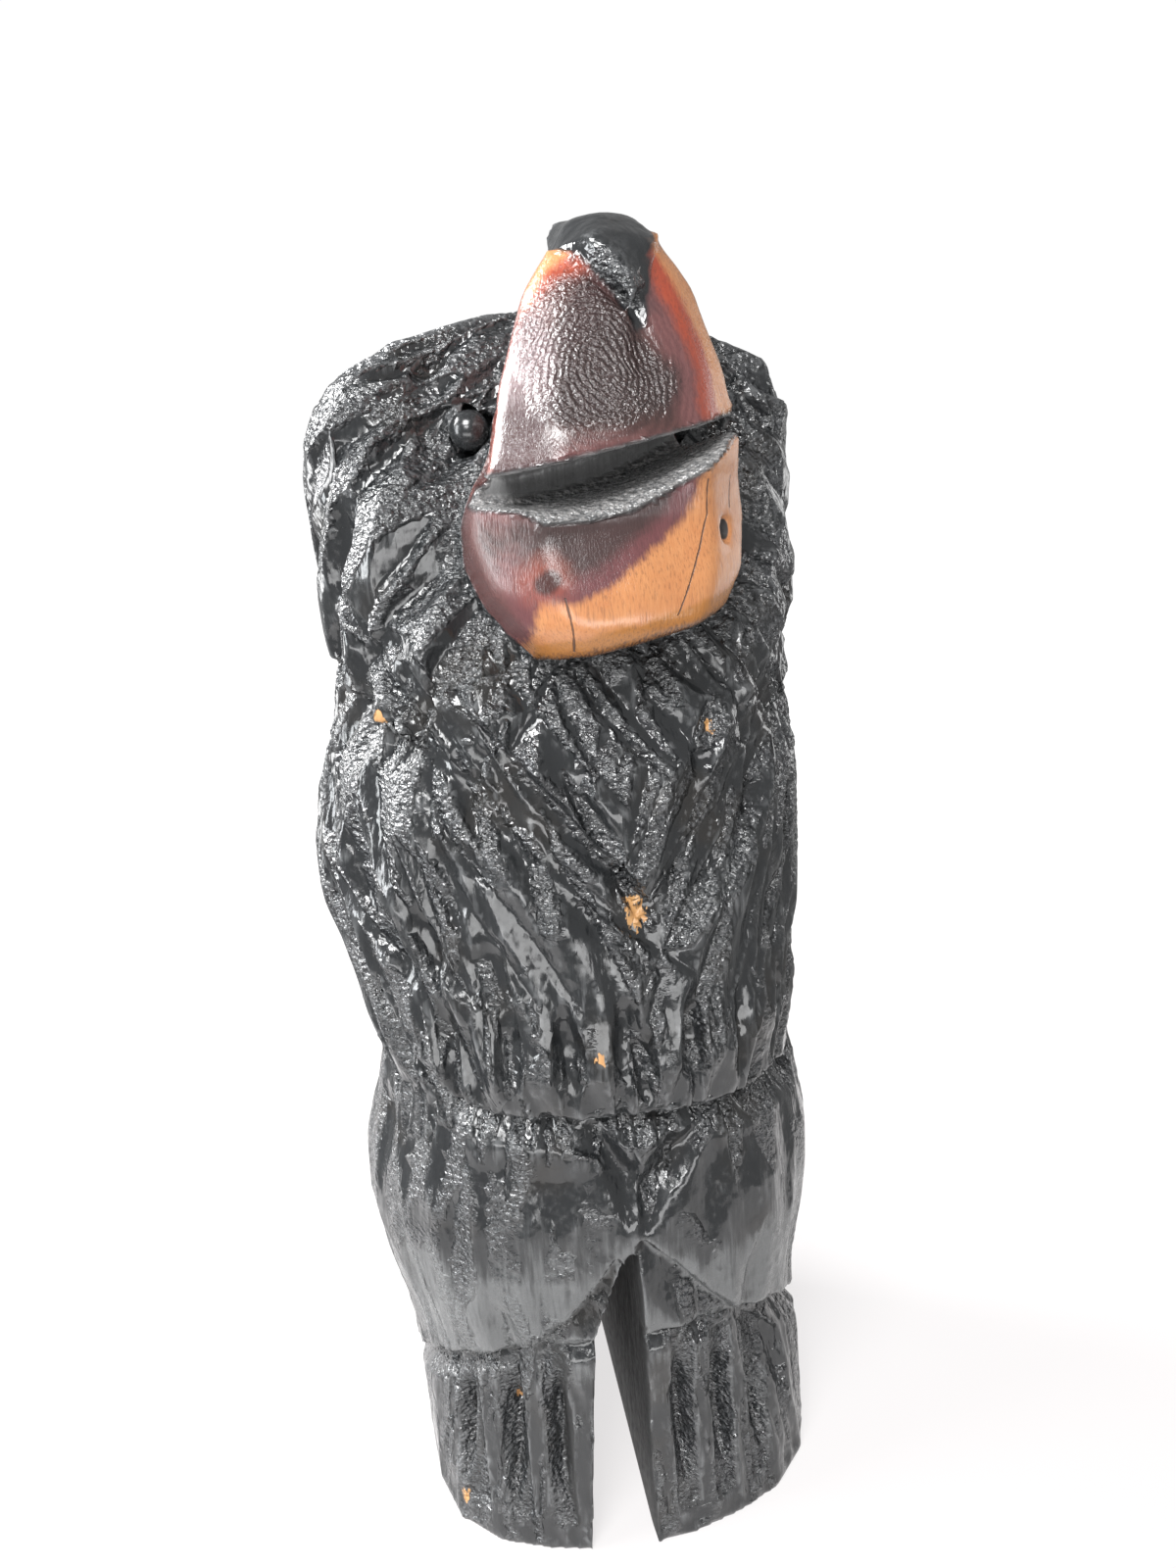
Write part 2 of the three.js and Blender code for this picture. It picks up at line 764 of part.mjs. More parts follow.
const group = new THREE.Group();
group.add(meshOf('bear', bear, blackVarnish));
group.add(meshOf('eye_right', ball(beadDiameter, eyeCentre(-1)), blackGlass));
group.add(meshOf('eye_left', ball(beadDiameter, eyeCentre(1)), blackGlass));

// The origin is on the floor, under the middle of the carving
const box = new THREE.Box3().setFromObject(group);
const middle = box.getCenter(new THREE.Vector3());
group.position.set(-middle.x, -middle.y, 0);

export default group;
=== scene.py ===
# The looks of a standing bear carved with a chainsaw from one cedar log: glossy black varnish over
# saw cuts, an oiled muzzle with its growth rings, and two black beads for eyes.
import functools
import math

import bmesh
import bpy
import numpy as np
from mathutils import Matrix, Vector


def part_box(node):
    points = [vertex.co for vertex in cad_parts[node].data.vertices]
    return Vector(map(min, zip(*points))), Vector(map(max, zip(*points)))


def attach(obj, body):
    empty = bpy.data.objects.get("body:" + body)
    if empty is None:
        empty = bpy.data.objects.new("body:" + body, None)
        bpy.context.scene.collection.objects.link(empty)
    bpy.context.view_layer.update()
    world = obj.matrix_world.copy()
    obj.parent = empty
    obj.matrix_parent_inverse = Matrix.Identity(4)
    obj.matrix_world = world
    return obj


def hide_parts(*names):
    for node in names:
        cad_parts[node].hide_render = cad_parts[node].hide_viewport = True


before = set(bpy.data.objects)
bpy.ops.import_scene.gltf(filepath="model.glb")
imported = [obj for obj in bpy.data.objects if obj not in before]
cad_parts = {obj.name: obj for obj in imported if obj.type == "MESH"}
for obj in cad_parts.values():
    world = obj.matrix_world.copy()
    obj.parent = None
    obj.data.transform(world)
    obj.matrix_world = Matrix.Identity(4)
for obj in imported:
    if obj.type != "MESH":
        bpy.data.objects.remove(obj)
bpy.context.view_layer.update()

MM = 0.001

# Where the log's axis stands, in millimetres, and how far the muzzle is turned from it
AXIS_X, AXIS_Y = 6.6, -0.2
HEAD_TURN = math.radians(8)
LOG_RADIUS = 107.0
HEIGHT = 605.0
CROWN_EDGE = 0.876 * HEIGHT
CROWN_RISE = 46.0

# The mouth's saw cut, as in the solid: how far it opens at shares of the muzzle's half width
UPPER_LIP = 0.864 * HEIGHT
LIP_SLOPE = math.tan(math.radians(9.6))
MOUTH_HEIGHT, MOUTH_DEPTH, MUZZLE_FRONT = 27.0, 50.0, 112.0
LIP_BEVEL, LIP_BEVEL_RISE = 16.0, 9.0
MUZZLE_HALF_WIDTH = 50
MOUTH_OPENING = [
    (-1.5, 0.35), (-1, 0.62), (-0.62, 0.93), (-0.3, 1), (0.05, 0.95), (0.4, 0.79), (0.86, 0.43),
    (1.5, 0.2),
]
CHIN = 0.742 * HEIGHT
CHIN_SLOPE = math.tan(math.radians(11))

# How far out the head's own face lies at each height, and where the muzzle's wood ends sideways
FACE_REACH = [(381, 115), (399, 101), (440, 80), (478, 57), (530, 46), (560, 31), (578, 15)]
FACE_CLEARANCE = 3.5
MUZZLE_SIDE = 62

# The grooves between the toes: how far each lies from the log's axis, and the ankles above them
TOE_GROOVES = (-82.0, -61.5, -41.0, 21.0, 41.5, 62.0)
TOE_GROOVE_DEPTH = 3.2
ANKLE_LEVEL, ANKLE_RISE = 52.0, 74.0

# The gap between the legs
GAP_MIDDLE, GAP_TOP = -8.0, 185

# The borer's hole in the jaw, as (across, height) in the muzzle's front view
HOLE = (41, 488)

# The stub of a knot on the right flank
KNOT_STUB = (-87.0, -60.0, 311.0)
KNOT_STUB_SIZE, KNOT_STUB_RISE = 6.5, 4.5

# How high each kind of low relief stands, in millimetres
RIDGE_RELIEF, FIBRE_RELIEF, SWELL_RELIEF, TORN_RELIEF, DIMPLE_RELIEF = 0.28, 0.10, 0.9, 0.30, 0.22
MUZZLE_RELIEF = 0.35

VOXEL = 1.7
MOST_TRIANGLES = 188000


# ---------------------------------------------------------------- numbers that vary smoothly


def lattice_noise(points, cell, seed):
    """Smooth noise from -1 to 1 at points, one knot for each cell (a size for each axis)."""
    rng = np.random.default_rng(seed)
    table = rng.uniform(-1, 1, 4096).astype(np.float32)
    scaled = points / np.asarray(cell, dtype=np.float64)
    low = np.floor(scaled).astype(np.int64)
    part = (scaled - low).astype(np.float32)
    part = part * part * (3 - 2 * part)
    total = np.zeros(len(points), np.float32)
    for corner in range(8):
        step = np.array([corner & 1, corner >> 1 & 1, corner >> 2 & 1])
        knot = low + step
        key = (knot[:, 0] * 73856093 ^ knot[:, 1] * 19349663 ^ knot[:, 2] * 83492791) % 4096
        weight = np.prod(np.where(step, part, 1 - part), axis=1)
        total += weight * table[key]
    return total


def smooth_step(low, high, value):
    share = np.clip((value - low) / (high - low), 0, 1)
    return share * share * (3 - 2 * share)


def track(stops, value):
    places, values = zip(*stops)
    return np.interp(value, places, values)


def outline_distance(polygon, across, level):
    """Distance to a closed outline in the muzzle's front view: below 0 inside, above 0 outside."""
    corners = np.array(polygon, float)
    nearest = np.full(len(across), 1e9)
    inside = np.zeros(len(across), bool)
    for start, end in zip(corners, np.roll(corners, -1, axis=0)):
        side = end - start
        along = ((across - start[0]) * side[0] + (level - start[1]) * side[1]) / (side @ side)
        along = np.clip(along, 0, 1)
        gap = np.hypot(across - start[0] - along * side[0], level - start[1] - along * side[1])
        nearest = np.minimum(nearest, gap)
        crosses = (start[1] > level) != (end[1] > level)
        rise = np.where(abs(side[1]) < 1e-9, 1e-9, side[1])
        inside ^= crosses & (across < start[0] + (level - start[1]) / rise * side[0])
    return np.where(inside, -nearest, nearest)


# ---------------------------------------------------------------- the carved log as a fine mesh


def merged_copy(node):
    """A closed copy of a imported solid, with its loose triangles joined."""
    work = bmesh.new()
    work.from_mesh(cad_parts[node].data)
    bmesh.ops.remove_doubles(work, verts=work.verts, dist=2e-6)
    mesh = bpy.data.meshes.new(node + "_merged")
    work.to_mesh(mesh)
    work.free()
    return mesh


def baked(obj):
    """The mesh that an object's modifiers make of it. The object is used up."""
    graph = bpy.context.evaluated_depsgraph_get()
    mesh = bpy.data.meshes.new_from_object(obj.evaluated_get(graph))
    old = obj.data
    bpy.data.objects.remove(obj)
    bpy.data.meshes.remove(old)
    return mesh


def with_modifier(mesh, kind, **settings):
    obj = bpy.data.objects.new("work", mesh)
    bpy.context.scene.collection.objects.link(obj)
    modifier = obj.modifiers.new("shape", kind)
    for key, value in settings.items():
        setattr(modifier, key, value)
    return baked(obj)


def places_of(mesh):
    flat = np.empty(len(mesh.vertices) * 3)
    mesh.vertices.foreach_get("co", flat)
    return flat.reshape(-1, 3) / MM


def set_places(mesh, points):
    mesh.vertices.foreach_set("co", (points * MM).ravel())
    mesh.update()


def edges_of(mesh):
    flat = np.empty(len(mesh.edges) * 2, np.int32)
    mesh.edges.foreach_get("vertices", flat)
    return flat.reshape(-1, 2)


def normals_of(mesh):
    flat = np.empty(len(mesh.vertices) * 3, np.float32)
    mesh.vertex_normals.foreach_get("vector", flat)
    return flat.reshape(-1, 3).astype(float)


def smoothed(values, edges, amount, rounds):
    """Values drawn towards the mean of their neighbours; amount may differ from point to point."""
    count = np.bincount(edges.ravel(), minlength=len(values)).astype(float)
    amount = np.broadcast_to(amount, (len(values),))
    result = values.astype(float)
    for _ in range(rounds):
        columns = result.reshape(len(values), -1)
        mean = np.empty_like(columns)
        for column in range(columns.shape[1]):
            near = np.bincount(edges[:, 0], columns[edges[:, 1], column], len(values))
            near += np.bincount(edges[:, 1], columns[edges[:, 0], column], len(values))
            mean[:, column] = near / count
        result = (columns + amount[:, None] * (mean - columns)).reshape(result.shape)
    return result


class Place:
    """Where points of the carving lie: round the log, in the muzzle's own frame, and on the skin."""

    def __init__(self, points):
        x, y, self.level = points[:, 0] - AXIS_X, points[:, 1] - AXIS_Y, points[:, 2]
        self.reach = np.hypot(x, y)
        self.turn = np.degrees(np.arctan2(x, -y))
        self.facing = (self.turn - 8 + 180) % 360 - 180
        cosine, sine = math.cos(HEAD_TURN), math.sin(HEAD_TURN)
        self.across = x * cosine + y * sine
        self.out = x * sine - y * cosine
        past = np.maximum(self.level - CROWN_EDGE, 0) / CROWN_RISE
        bend = np.arctan2(past, np.clip(self.reach / LOG_RADIUS, 0.02, 1) ** 1.1)
        self.climb = np.minimum(self.level, CROWN_EDGE) + LOG_RADIUS * bend * 2 / math.pi
        self.mouth = self.in_mouth()
        self.muzzle = self.on_muzzle()

    def in_mouth(self):
        """Below 0 inside the mouth's saw cut, in millimetres."""
        opening = track(MOUTH_OPENING, self.across / MUZZLE_HALF_WIDTH)
        lip = UPPER_LIP + self.across * LIP_SLOPE
        rise = opening * LIP_BEVEL_RISE
        past = np.maximum(self.out - (MUZZLE_FRONT - LIP_BEVEL), 0) / LIP_BEVEL
        floor = lip - opening * MOUTH_HEIGHT + rise * (1 - past)
        back = MUZZLE_FRONT - MOUTH_DEPTH
        return np.maximum.reduce([self.level - lip - 0.6, floor - 1.2 - self.level, back - 1 - self.out])

    def on_muzzle(self):
        """Below 0 on the muzzle's wood, in millimetres."""
        face = track(FACE_REACH, self.level)
        under = CHIN + self.across * CHIN_SLOPE - FACE_CLEARANCE
        aside = np.abs(self.across) - MUZZLE_SIDE
        return np.maximum.reduce([face + FACE_CLEARANCE - self.out, under - self.level, aside])


def strokes_for(place, seed, region, lean, length, width, depth):
    """Leaf-shaped cuts over a part of the skin, each with one steep and one flat flank.

    Gives the depth at each point, and how torn the flank is that it lies on, from 0 to 1.
    """
    rng = np.random.default_rng(seed)
    low_turn, high_turn, low, high = region
    cut = np.zeros(len(place.level))
    tear = np.full(len(place.level), 0.4)
    step = math.degrees(width * 1.15 / LOG_RADIUS)
    centres = [
        (
            row_turn + (row % 2) * step / 2 + rng.normal(0, 0.2) * step,
            climb + rng.normal(0, 0.14) * length,
        )
        for row, climb in enumerate(np.arange(low, high, length * 0.55))
        for row_turn in np.arange(low_turn, high_turn, step)
    ]
    for turn, climb in centres:
        angle = lean(turn) + rng.normal(0, 0.10)
        half_long = length * rng.uniform(0.40, 0.62)
        half_wide = width * rng.uniform(0.42, 0.66)
        deep = depth * rng.uniform(0.6, 1.15)
        apex = rng.uniform(-0.6, 0.3)
        torn_sides = rng.uniform(0.5, 1.0), rng.uniform(0.0, 0.42)
        x = ((place.facing - turn + 180) % 360 - 180) * math.pi / 180 * LOG_RADIUS
        y = place.climb - climb
        near = np.nonzero((np.abs(x) < half_long) & (np.abs(y) < half_long))[0]
        if len(near) == 0:
            continue
        along = (x[near] * math.sin(angle) + y[near] * math.cos(angle)) / half_long
        side = (x[near] * math.cos(angle) - y[near] * math.sin(angle)) / half_wide
        taper = np.clip(1 - along * along, 0, 1) ** 0.7
        spread = side / np.maximum(taper, 0.05)
        slope = np.where(spread > apex, (1 - spread) / (1 - apex), (1 + spread) / (1 + apex))
        bite = deep * taper * np.clip(slope, 0, 1)
        better = bite > cut[near]
        chosen = near[better]
        cut[chosen] = bite[better]
        tear[chosen] = np.where(spread > apex, *torn_sides)[better]
    return cut, tear


def head_lean(turn):
    return -math.copysign(0.62 if abs(turn) < 110 else 0.2, turn)


def body_lean(turn):
    return math.copysign(0.3 if abs(turn) < 100 else 0.05, turn)


def mane_lean(turn):
    return math.copysign(0.62, turn)


def upright(_turn):
    return 0.0


# Layers of cuts: a seed, where they lie (turns, then climbs), their lean, length, width and depth
LAYERS = [
    (3, (-180, 180, 410, 640), head_lean, 66, 21, 5.6),
    (4, (-66, 66, 325, 450), mane_lean, 80, 17, 4.8),
    (5, (-180, 180, 262, 410), body_lean, 70, 18, 4.6),
    (6, (-180, 180, 50, 240), upright, 76, 26, 1.6),
    (7, (-70, 70, 10, 110), upright, 46, 10, 2.0),
    (8, (-70, 70, 235, 300), upright, 48, 10, 2.8),
]


def all_strokes(place):
    cut = np.zeros(len(place.level))
    tear = np.full(len(place.level), 0.4)
    for layer in LAYERS:
        bite, torn = strokes_for(place, *layer)
        better = bite > cut
        tear = np.where(better, torn, tear)
        cut = np.maximum(cut, bite)
    return cut, tear


def softened(mesh, points, edges, amount, rounds):
    """Points drawn smooth and then pushed back out, so that the form doesn't shrink."""
    soft = smoothed(points, edges, amount, rounds)
    set_places(mesh, soft)
    normals = normals_of(mesh)
    loss = smoothed(((points - soft) * normals).sum(1), edges, 0.6, rounds)
    return soft + normals * (loss * amount)[:, None]


def leg_gap_walls(points, normals, reach, least_sideways):
    """True on the two walls between the legs."""
    near = (np.abs(points[:, 0] - GAP_MIDDLE) < reach) & (points[:, 2] < GAP_TOP)
    return near & (np.abs(normals[:, 0]) > least_sideways)


def carve(mesh):
    """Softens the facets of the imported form, then cuts the finer strokes, ripples and torn grain."""
    edges = edges_of(mesh)
    points = places_of(mesh)
    set_places(mesh, points)
    facet_normals = normals_of(mesh)
    place = Place(points)
    points = smoothed(points, edges, 0.5, 4)
    worn_and_sheen = smooth_step(2, -4, place.muzzle) * smooth_step(1.5, 6, place.mouth)
    worn_and_sheen *= smooth_step(1, 7, outline_distance(NOSE, place.across, place.level))
    gap_walls = leg_gap_walls(points, facet_normals, 26, 0.5)
    points = softened(mesh, points, edges, np.maximum(0.6 * worn_and_sheen, 0.5 * gap_walls), 26)
    points[:, 2] = np.maximum(points[:, 2], 0)
    set_places(mesh, points)

    place = Place(points)
    normals = normals_of(mesh)
    outward = np.column_stack([np.sin(np.radians(place.turn)), -np.cos(np.radians(place.turn))])
    radial = (normals[:, :2] * outward).sum(1)
    off_muzzle = smooth_step(0, 5, place.muzzle)
    off_sole = smooth_step(1, 7, place.level)
    in_gap = leg_gap_walls(points, normals, 24, 0.6)
    open_skin = off_muzzle * off_sole * smooth_step(0.05, 0.45, np.maximum(radial, normals[:, 2]))
    open_skin = open_skin * ~in_gap

    cut, tear = all_strokes(place)
    arc = place.facing * math.pi / 180 * LOG_RADIUS
    skew = np.where(place.climb > 400, 0.5, 0.12) * np.sign(place.facing) * place.climb
    flow = np.column_stack([arc + skew, place.climb, np.zeros(len(points))])
    ridge = 1 - np.abs(lattice_noise(flow, (8, 40, 9), 21)) * 2
    fibre = lattice_noise(flow, (3.4, 26, 9), 22)
    swell = lattice_noise(points, (26, 26, 40), 23)
    torn = lattice_noise(points, (3.4, 3.4, 3.4), 24)
    dimples = lattice_noise(points, (6, 6, 7), 25)
    lower = smooth_step(235, 150, place.level)
    rough = smooth_step(0.35, 0.7, tear)
    relief = -cut + RIDGE_RELIEF * ridge * (1 - 0.6 * lower)
    relief = relief + FIBRE_RELIEF * fibre + SWELL_RELIEF * swell
    relief += rough * (TORN_RELIEF * torn + DIMPLE_RELIEF * dimples)
    points += normals * (relief * open_skin)[:, None]

    wood = smooth_step(1, -3, place.muzzle) * smooth_step(0, 2, place.mouth)
    faint = MUZZLE_RELIEF * lattice_noise(points, (20, 20, 20), 31)
    points += normals * (faint * wood)[:, None]
    points = details(points, normals)
    points[:, 2] = np.where(place.level < 0.6, 0, np.maximum(points[:, 2], 0))
    for axis, (low, high) in enumerate(zip(*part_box("bear"))):
        points[:, axis] = np.clip(points[:, axis], low / MM, high / MM)
    set_places(mesh, points)
    return mesh


def toe_troughs(place):
    """How far each point lies in one of the broad grooves between the toes, from 0 to 1."""
    beside = place.reach * np.sin(np.radians(place.turn))
    ankle = ANKLE_LEVEL + ANKLE_RISE * np.cos(np.radians(place.turn))
    gap = np.min([np.abs(beside - middle) for middle in TOE_GROOVES], axis=0)
    share = smooth_step(6.6, 4.4, gap) * smooth_step(12, 19, place.level)
    return share * smooth_step(ankle - 5, ankle - 12, place.level) * (np.abs(place.turn) < 75)


def details(points, normals):
    """Single features: the toes, the hole in the jaw, the nose's round top, and the knot stub."""
    place = Place(points)
    trough = toe_troughs(place) * smooth_step(60, 75, place.reach)
    points = points.copy()
    points[:, 0] -= TOE_GROOVE_DEPTH * trough * np.sin(np.radians(place.turn))
    points[:, 1] += TOE_GROOVE_DEPTH * trough * np.cos(np.radians(place.turn))
    hole = ((place.across - HOLE[0]) / 3.0) ** 2 + ((place.level - HOLE[1]) / 4.4) ** 2
    front = (place.out > 80) & (hole < 2.2)
    points = points - normals * np.where(front, 4.5 * np.clip(1.35 - hole, 0, 1), 0)[:, None]
    nose = smooth_step(3, -3, outline_distance(NOSE, place.across, place.level))
    nose *= smooth_step(45, 55, place.out)
    dome = ((place.across - 8) / 22) ** 2 * smooth_step(588, 600, place.level) * nose
    points[:, 2] -= 5.5 * dome
    stub = np.linalg.norm(points - np.array(KNOT_STUB), axis=1)
    points = points + normals * (KNOT_STUB_RISE * np.exp(-(stub / KNOT_STUB_SIZE) ** 2))[:, None]
    return points


def thin_out(mesh):
    triangles = sum(len(face.vertices) - 2 for face in mesh.polygons)
    ratio = min(1.0, MOST_TRIANGLES / triangles)
    return with_modifier(mesh, "DECIMATE", decimate_type="COLLAPSE", ratio=ratio)


def make_bear():
    mesh = with_modifier(
        merged_copy("bear"), "REMESH", mode="VOXEL", voxel_size=VOXEL * MM, use_smooth_shade=True
    )
    mesh = thin_out(carve(mesh))
    mesh.shade_smooth()
    paint(mesh)
    bear = bpy.data.objects.new("bear_carving", mesh)
    bpy.context.scene.collection.objects.link(bear)
    return bear


# ---------------------------------------------------------------- where the finishes lie

# Outlines on the muzzle, as (across, height) in its front view, in millimetres
NOSE = [
    (-32, 614), (-25, 600), (-17, 594), (-8, 588), (3, 575), (8, 566), (9, 561), (14, 563), (19, 585),
    (24, 597), (32, 614),
]
NOSE_GRIT = [(-4, 591), (2, 591), (8, 584), (14, 577), (13, 571), (8, 571), (2, 578), (-3, 584)]
UPPER_HEART = [
    (-90, 506), (-90, 560), (-40, 562), (-27, 572), (-19, 583), (-11, 589), (0, 620), (18, 612),
    (19, 594), (26, 583), (32, 570), (37, 557), (39, 545), (38, 534), (41, 526), (90, 506),
]
LOWER_HEART = [
    (-80, 516), (28, 516), (26, 503), (20, 493), (6, 484), (-6, 477), (-15, 470), (-26, 467), (-36, 469),
    (-39, 462), (-37, 440), (-80, 430),
]
RING_GRAIN = [
    (-30, 536), (-34, 548), (-33, 566), (-17, 582), (-4, 583), (4, 574), (10, 561), (25, 544), (17, 533),
    (0, 529), (-25, 530),
]

# The growth rings: where their middle lies (across, out, height), how far it leans, and their spacing
PITH = (-6, 98, 546)
PITH_LEAN = math.radians(35)
RING_SPACING = 2.5

# Drying cracks in the jaw, as straight pieces from one place to another in the same view
CRACKS = [
    ((31, 508), (31, 495)), ((31, 495), (26, 483)), ((26, 483), (14, 460)), ((-29, 470), (-25, 449)),
    ((45, 508), (45, 496)),
]

# Bits of bare wood in the varnish: a place near each, in millimetres, and its size
BARE_BITS = [
    ((-75, -58, 419), 3.4), ((17, -106, 336), 6.5), ((-5, -112, 276), 3.2), ((-82, -74, 15), 3.6),
    ((60, -96, 408), 3.0), ((-62, -96, 78), 3.0),
]


def paint(mesh):
    """Stores on the mesh what the finish needs to know at each point."""
    points = places_of(mesh)
    normals = normals_of(mesh)
    place = Place(points)
    wood = smooth_step(0.8, -0.8, place.muzzle) * smooth_step(-0.3, 0.9, place.mouth)
    nose = smooth_step(0.8, -0.8, outline_distance(NOSE, place.across, place.level))
    nose *= smooth_step(34, 40, place.out)
    wood *= 1 - nose

    upper = outline_distance(UPPER_HEART, place.across, place.level)
    lower = outline_distance(LOWER_HEART, place.across, place.level)
    above = place.level > UPPER_LIP - MOUTH_HEIGHT / 3 + place.across * LIP_SLOPE
    heart = np.where(above, upper, lower)
    grit = smooth_step(2.0, -2.0, outline_distance(NOSE_GRIT, place.across, place.level))
    rings = smooth_step(2.5, -3.5, outline_distance(RING_GRAIN, place.across, place.level)) * above

    patches = lattice_noise(points, (17, 17, 30), 41) + 0.5 * lattice_noise(points, (8, 8, 12), 42)
    tear = all_strokes(place)[1]
    front = smooth_step(62, 40, np.abs(place.facing)) * smooth_step(452, 420, place.level)
    zone = 0.12 * smooth_step(-20, -45, place.facing) - 0.26 * front
    zone = zone - 0.08 * smooth_step(20, 60, place.facing)
    rough = smooth_step(0.46, 0.62, tear + zone + 0.5 * normals[:, 2] + 0.16 * patches)
    # Convex ridges; the finish paints thin lighter grey lines along them: a painted highlight, with some
    # edge wear.
    bend = points - smoothed(points, edges_of(mesh), 1.0, 1)
    ridge = smooth_step(0.10, 0.42, (bend * normals).sum(1))
    inner = smooth_step(0.5, -1.5, place.mouth)
    # Inside the mouth the up-facing faces count as rough; the finish paints lighter grey speckles there,
    # partly as painted light.
    rough = np.where(inner > 0.5, smooth_step(0.1, 0.5, normals[:, 2]), rough)
    rough = np.maximum(rough * (1 - nose), grit * nose)
    trough = toe_troughs(place) * smooth_step(60, 75, place.reach)
    rough = np.maximum(rough, 0.8 * trough)
    bits = np.zeros(len(points))
    for (x, y, level), size in BARE_BITS:
        turn = math.degrees(math.atan2(x - AXIS_X, AXIS_Y - y))
        gap = np.hypot(np.radians(place.turn - turn) * LOG_RADIUS, (place.level - level) / 1.6)
        bits = np.maximum(bits, np.clip(1.5 - gap / size, 0, 1))

    sideways = normals[:, 0] * math.cos(HEAD_TURN) + normals[:, 1] * math.sin(HEAD_TURN)
    side = smooth_step(-0.72, -0.90, sideways)
    # Down-facing fronts of the lower thighs, where the finish paints a grey sheen: the white floor's
    # reflection, painted into the colour.
    wander = 34 * lattice_noise(points, (34, 34, 60), 43)
    thigh = smooth_step(228, 150, place.level + wander)
    thigh = thigh * smooth_step(88, 130, place.level + 0.35 * np.abs(place.facing))
    flat = smooth_step(0.25, -0.15, normals[:, 2])
    # The walls between the legs; the finish paints them darker, as painted shade.
    between_legs = leg_gap_walls(points, normals, 26, 0.6)
    worn_and_sheen = thigh * flat * (1 - trough) * ~between_legs
    worn_and_sheen = worn_and_sheen * (1 - 0.8 * smooth_step(50, 115, np.abs(place.facing)))
    for name, values in {
        "worn_and_sheen": worn_and_sheen, "ridge": ridge, "side": side, "wood": wood, "heart": heart, "rings": rings,
        "rough": rough, "mouth": inner, "bits": bits, "above": above, "between": between_legs,
    }.items():
        layer = mesh.attributes.new(name, "FLOAT", "POINT")
        layer.data.foreach_set("value", np.asarray(values, np.float32))


# ---------------------------------------------------------------- shader maths


class Wire:
    """A socket of a shader; sums and products on wires add the nodes that work them out."""

    def __init__(self, shader, socket):
        self.shader = shader
        self.socket = socket

    def maths(self, operation, *values):
        return self.shader.node("Math", operation=operation, inputs=list(values))

    def __add__(self, other):
        return self.maths("ADD", self, other)

    def __radd__(self, other):
        return self.maths("ADD", other, self)

    def __sub__(self, other):
        return self.maths("SUBTRACT", self, other)

    def __rsub__(self, other):
        return self.maths("SUBTRACT", other, self)

    def __mul__(self, other):
        return self.maths("MULTIPLY", self, other)

    def __rmul__(self, other):
        return self.maths("MULTIPLY", other, self)

    def __truediv__(self, other):
        return self.maths("DIVIDE", self, other)

    def power(self, exponent):
        return self.maths("POWER", self, exponent)

    def least(self, other):
        return self.maths("MINIMUM", self, other)

    def most(self, other):
        return self.maths("MAXIMUM", self, other)

    def root(self):
        return self.maths("SQRT", self)

    def wave(self):
        return self.maths("SINE", self)

    def step(self, low, high):
        """0 below low, 1 above high (or the reverse where low is above high), smooth between."""
        if low < high:
            sockets = {"Value": self, "From Min": low, "From Max": high}
            return self.shader.node("MapRange", interpolation_type="SMOOTHSTEP", inputs=sockets)
        return 1 - self.step(high, low)


class Shader:
    """A material whose nodes are made through one method."""

    def __init__(self, name):
        self.material = bpy.data.materials.new(name)
        self.material.use_nodes = True
        self.tree = self.material.node_tree
        self.tree.nodes.clear()

    def node(self, kind, inputs=(), output=0, **settings):
        made = self.tree.nodes.new("ShaderNode" + kind)
        for key, value in settings.items():
            setattr(made, key, value)
        pairs = inputs.items() if isinstance(inputs, dict) else enumerate(inputs)
        for key, value in pairs:
            if isinstance(value, Wire):
                self.tree.links.new(value.socket, made.inputs[key])
            else:
                made.inputs[key].default_value = value
        return Wire(self, made.outputs[output]) if len(made.outputs) else None

    def attribute(self, name):
        return self.node("Attribute", attribute_name=name, output="Fac")

    def place(self):
        """The object's own coordinates, in millimetres."""
        spot = self.node("TexCoord", output="Object")
        return self.node("VectorMath", operation="SCALE", inputs={0: spot, "Scale": 1 / MM})

    def split(self, vector):
        parts = self.node("SeparateXYZ", inputs=[vector]).socket.node
        return [Wire(self, parts.outputs[index]) for index in range(3)]

    def join(self, x, y, z):
        return self.node("CombineXYZ", inputs=[x, y, z])

    def noise(self, vector, scale, detail=2.0, roughness=0.5):
        settings = {"Vector": vector, "Scale": scale, "Detail": detail, "Roughness": roughness}
        return self.node("TexNoise", inputs=settings, output="Fac")

    def cells(self, vector, scale):
        """Distance to the middle of the nearest of many soft-edged cells."""
        settings = {"Vector": vector, "Scale": scale}
        return self.node("TexVoronoi", feature="SMOOTH_F1", inputs=settings, output="Distance")

    def blend(self, share, first, second):
        """One colour into another."""
        made = self.tree.nodes.new("ShaderNodeMix")
        made.data_type = "RGBA"
        sockets = (made.inputs["Factor"], made.inputs[6], made.inputs[7])
        for socket, value in zip(sockets, (share, first, second)):
            if isinstance(value, Wire):
                self.tree.links.new(value.socket, socket)
            else:
                socket.default_value = value if isinstance(value, (int, float)) else (*value, 1)
        return Wire(self, made.outputs[2])

    def bump(self, height, distance, strength=1.0):
        return self.node("Bump", inputs={"Height": height, "Distance": distance, "Strength": strength})

    def finish(self, **sockets):
        names = {key.replace("_", " "): value for key, value in sockets.items()}
        surface = self.node("BsdfPrincipled", inputs=names, output="BSDF")
        self.node("OutputMaterial", inputs={"Surface": surface})
        return self.material


def near_line(x, z, start, end):
    """Distance in the muzzle's front view from a straight line between two places."""
    side = (end[0] - start[0], end[1] - start[1])
    square = side[0] ** 2 + side[1] ** 2
    along = ((x - start[0]) * side[0] + (z - start[1]) * side[1]) / square
    along = along.most(0).least(1)
    gap_x = x - start[0] - along * side[0]
    gap_z = z - start[1] - along * side[1]
    return (gap_x * gap_x + gap_z * gap_z).root()


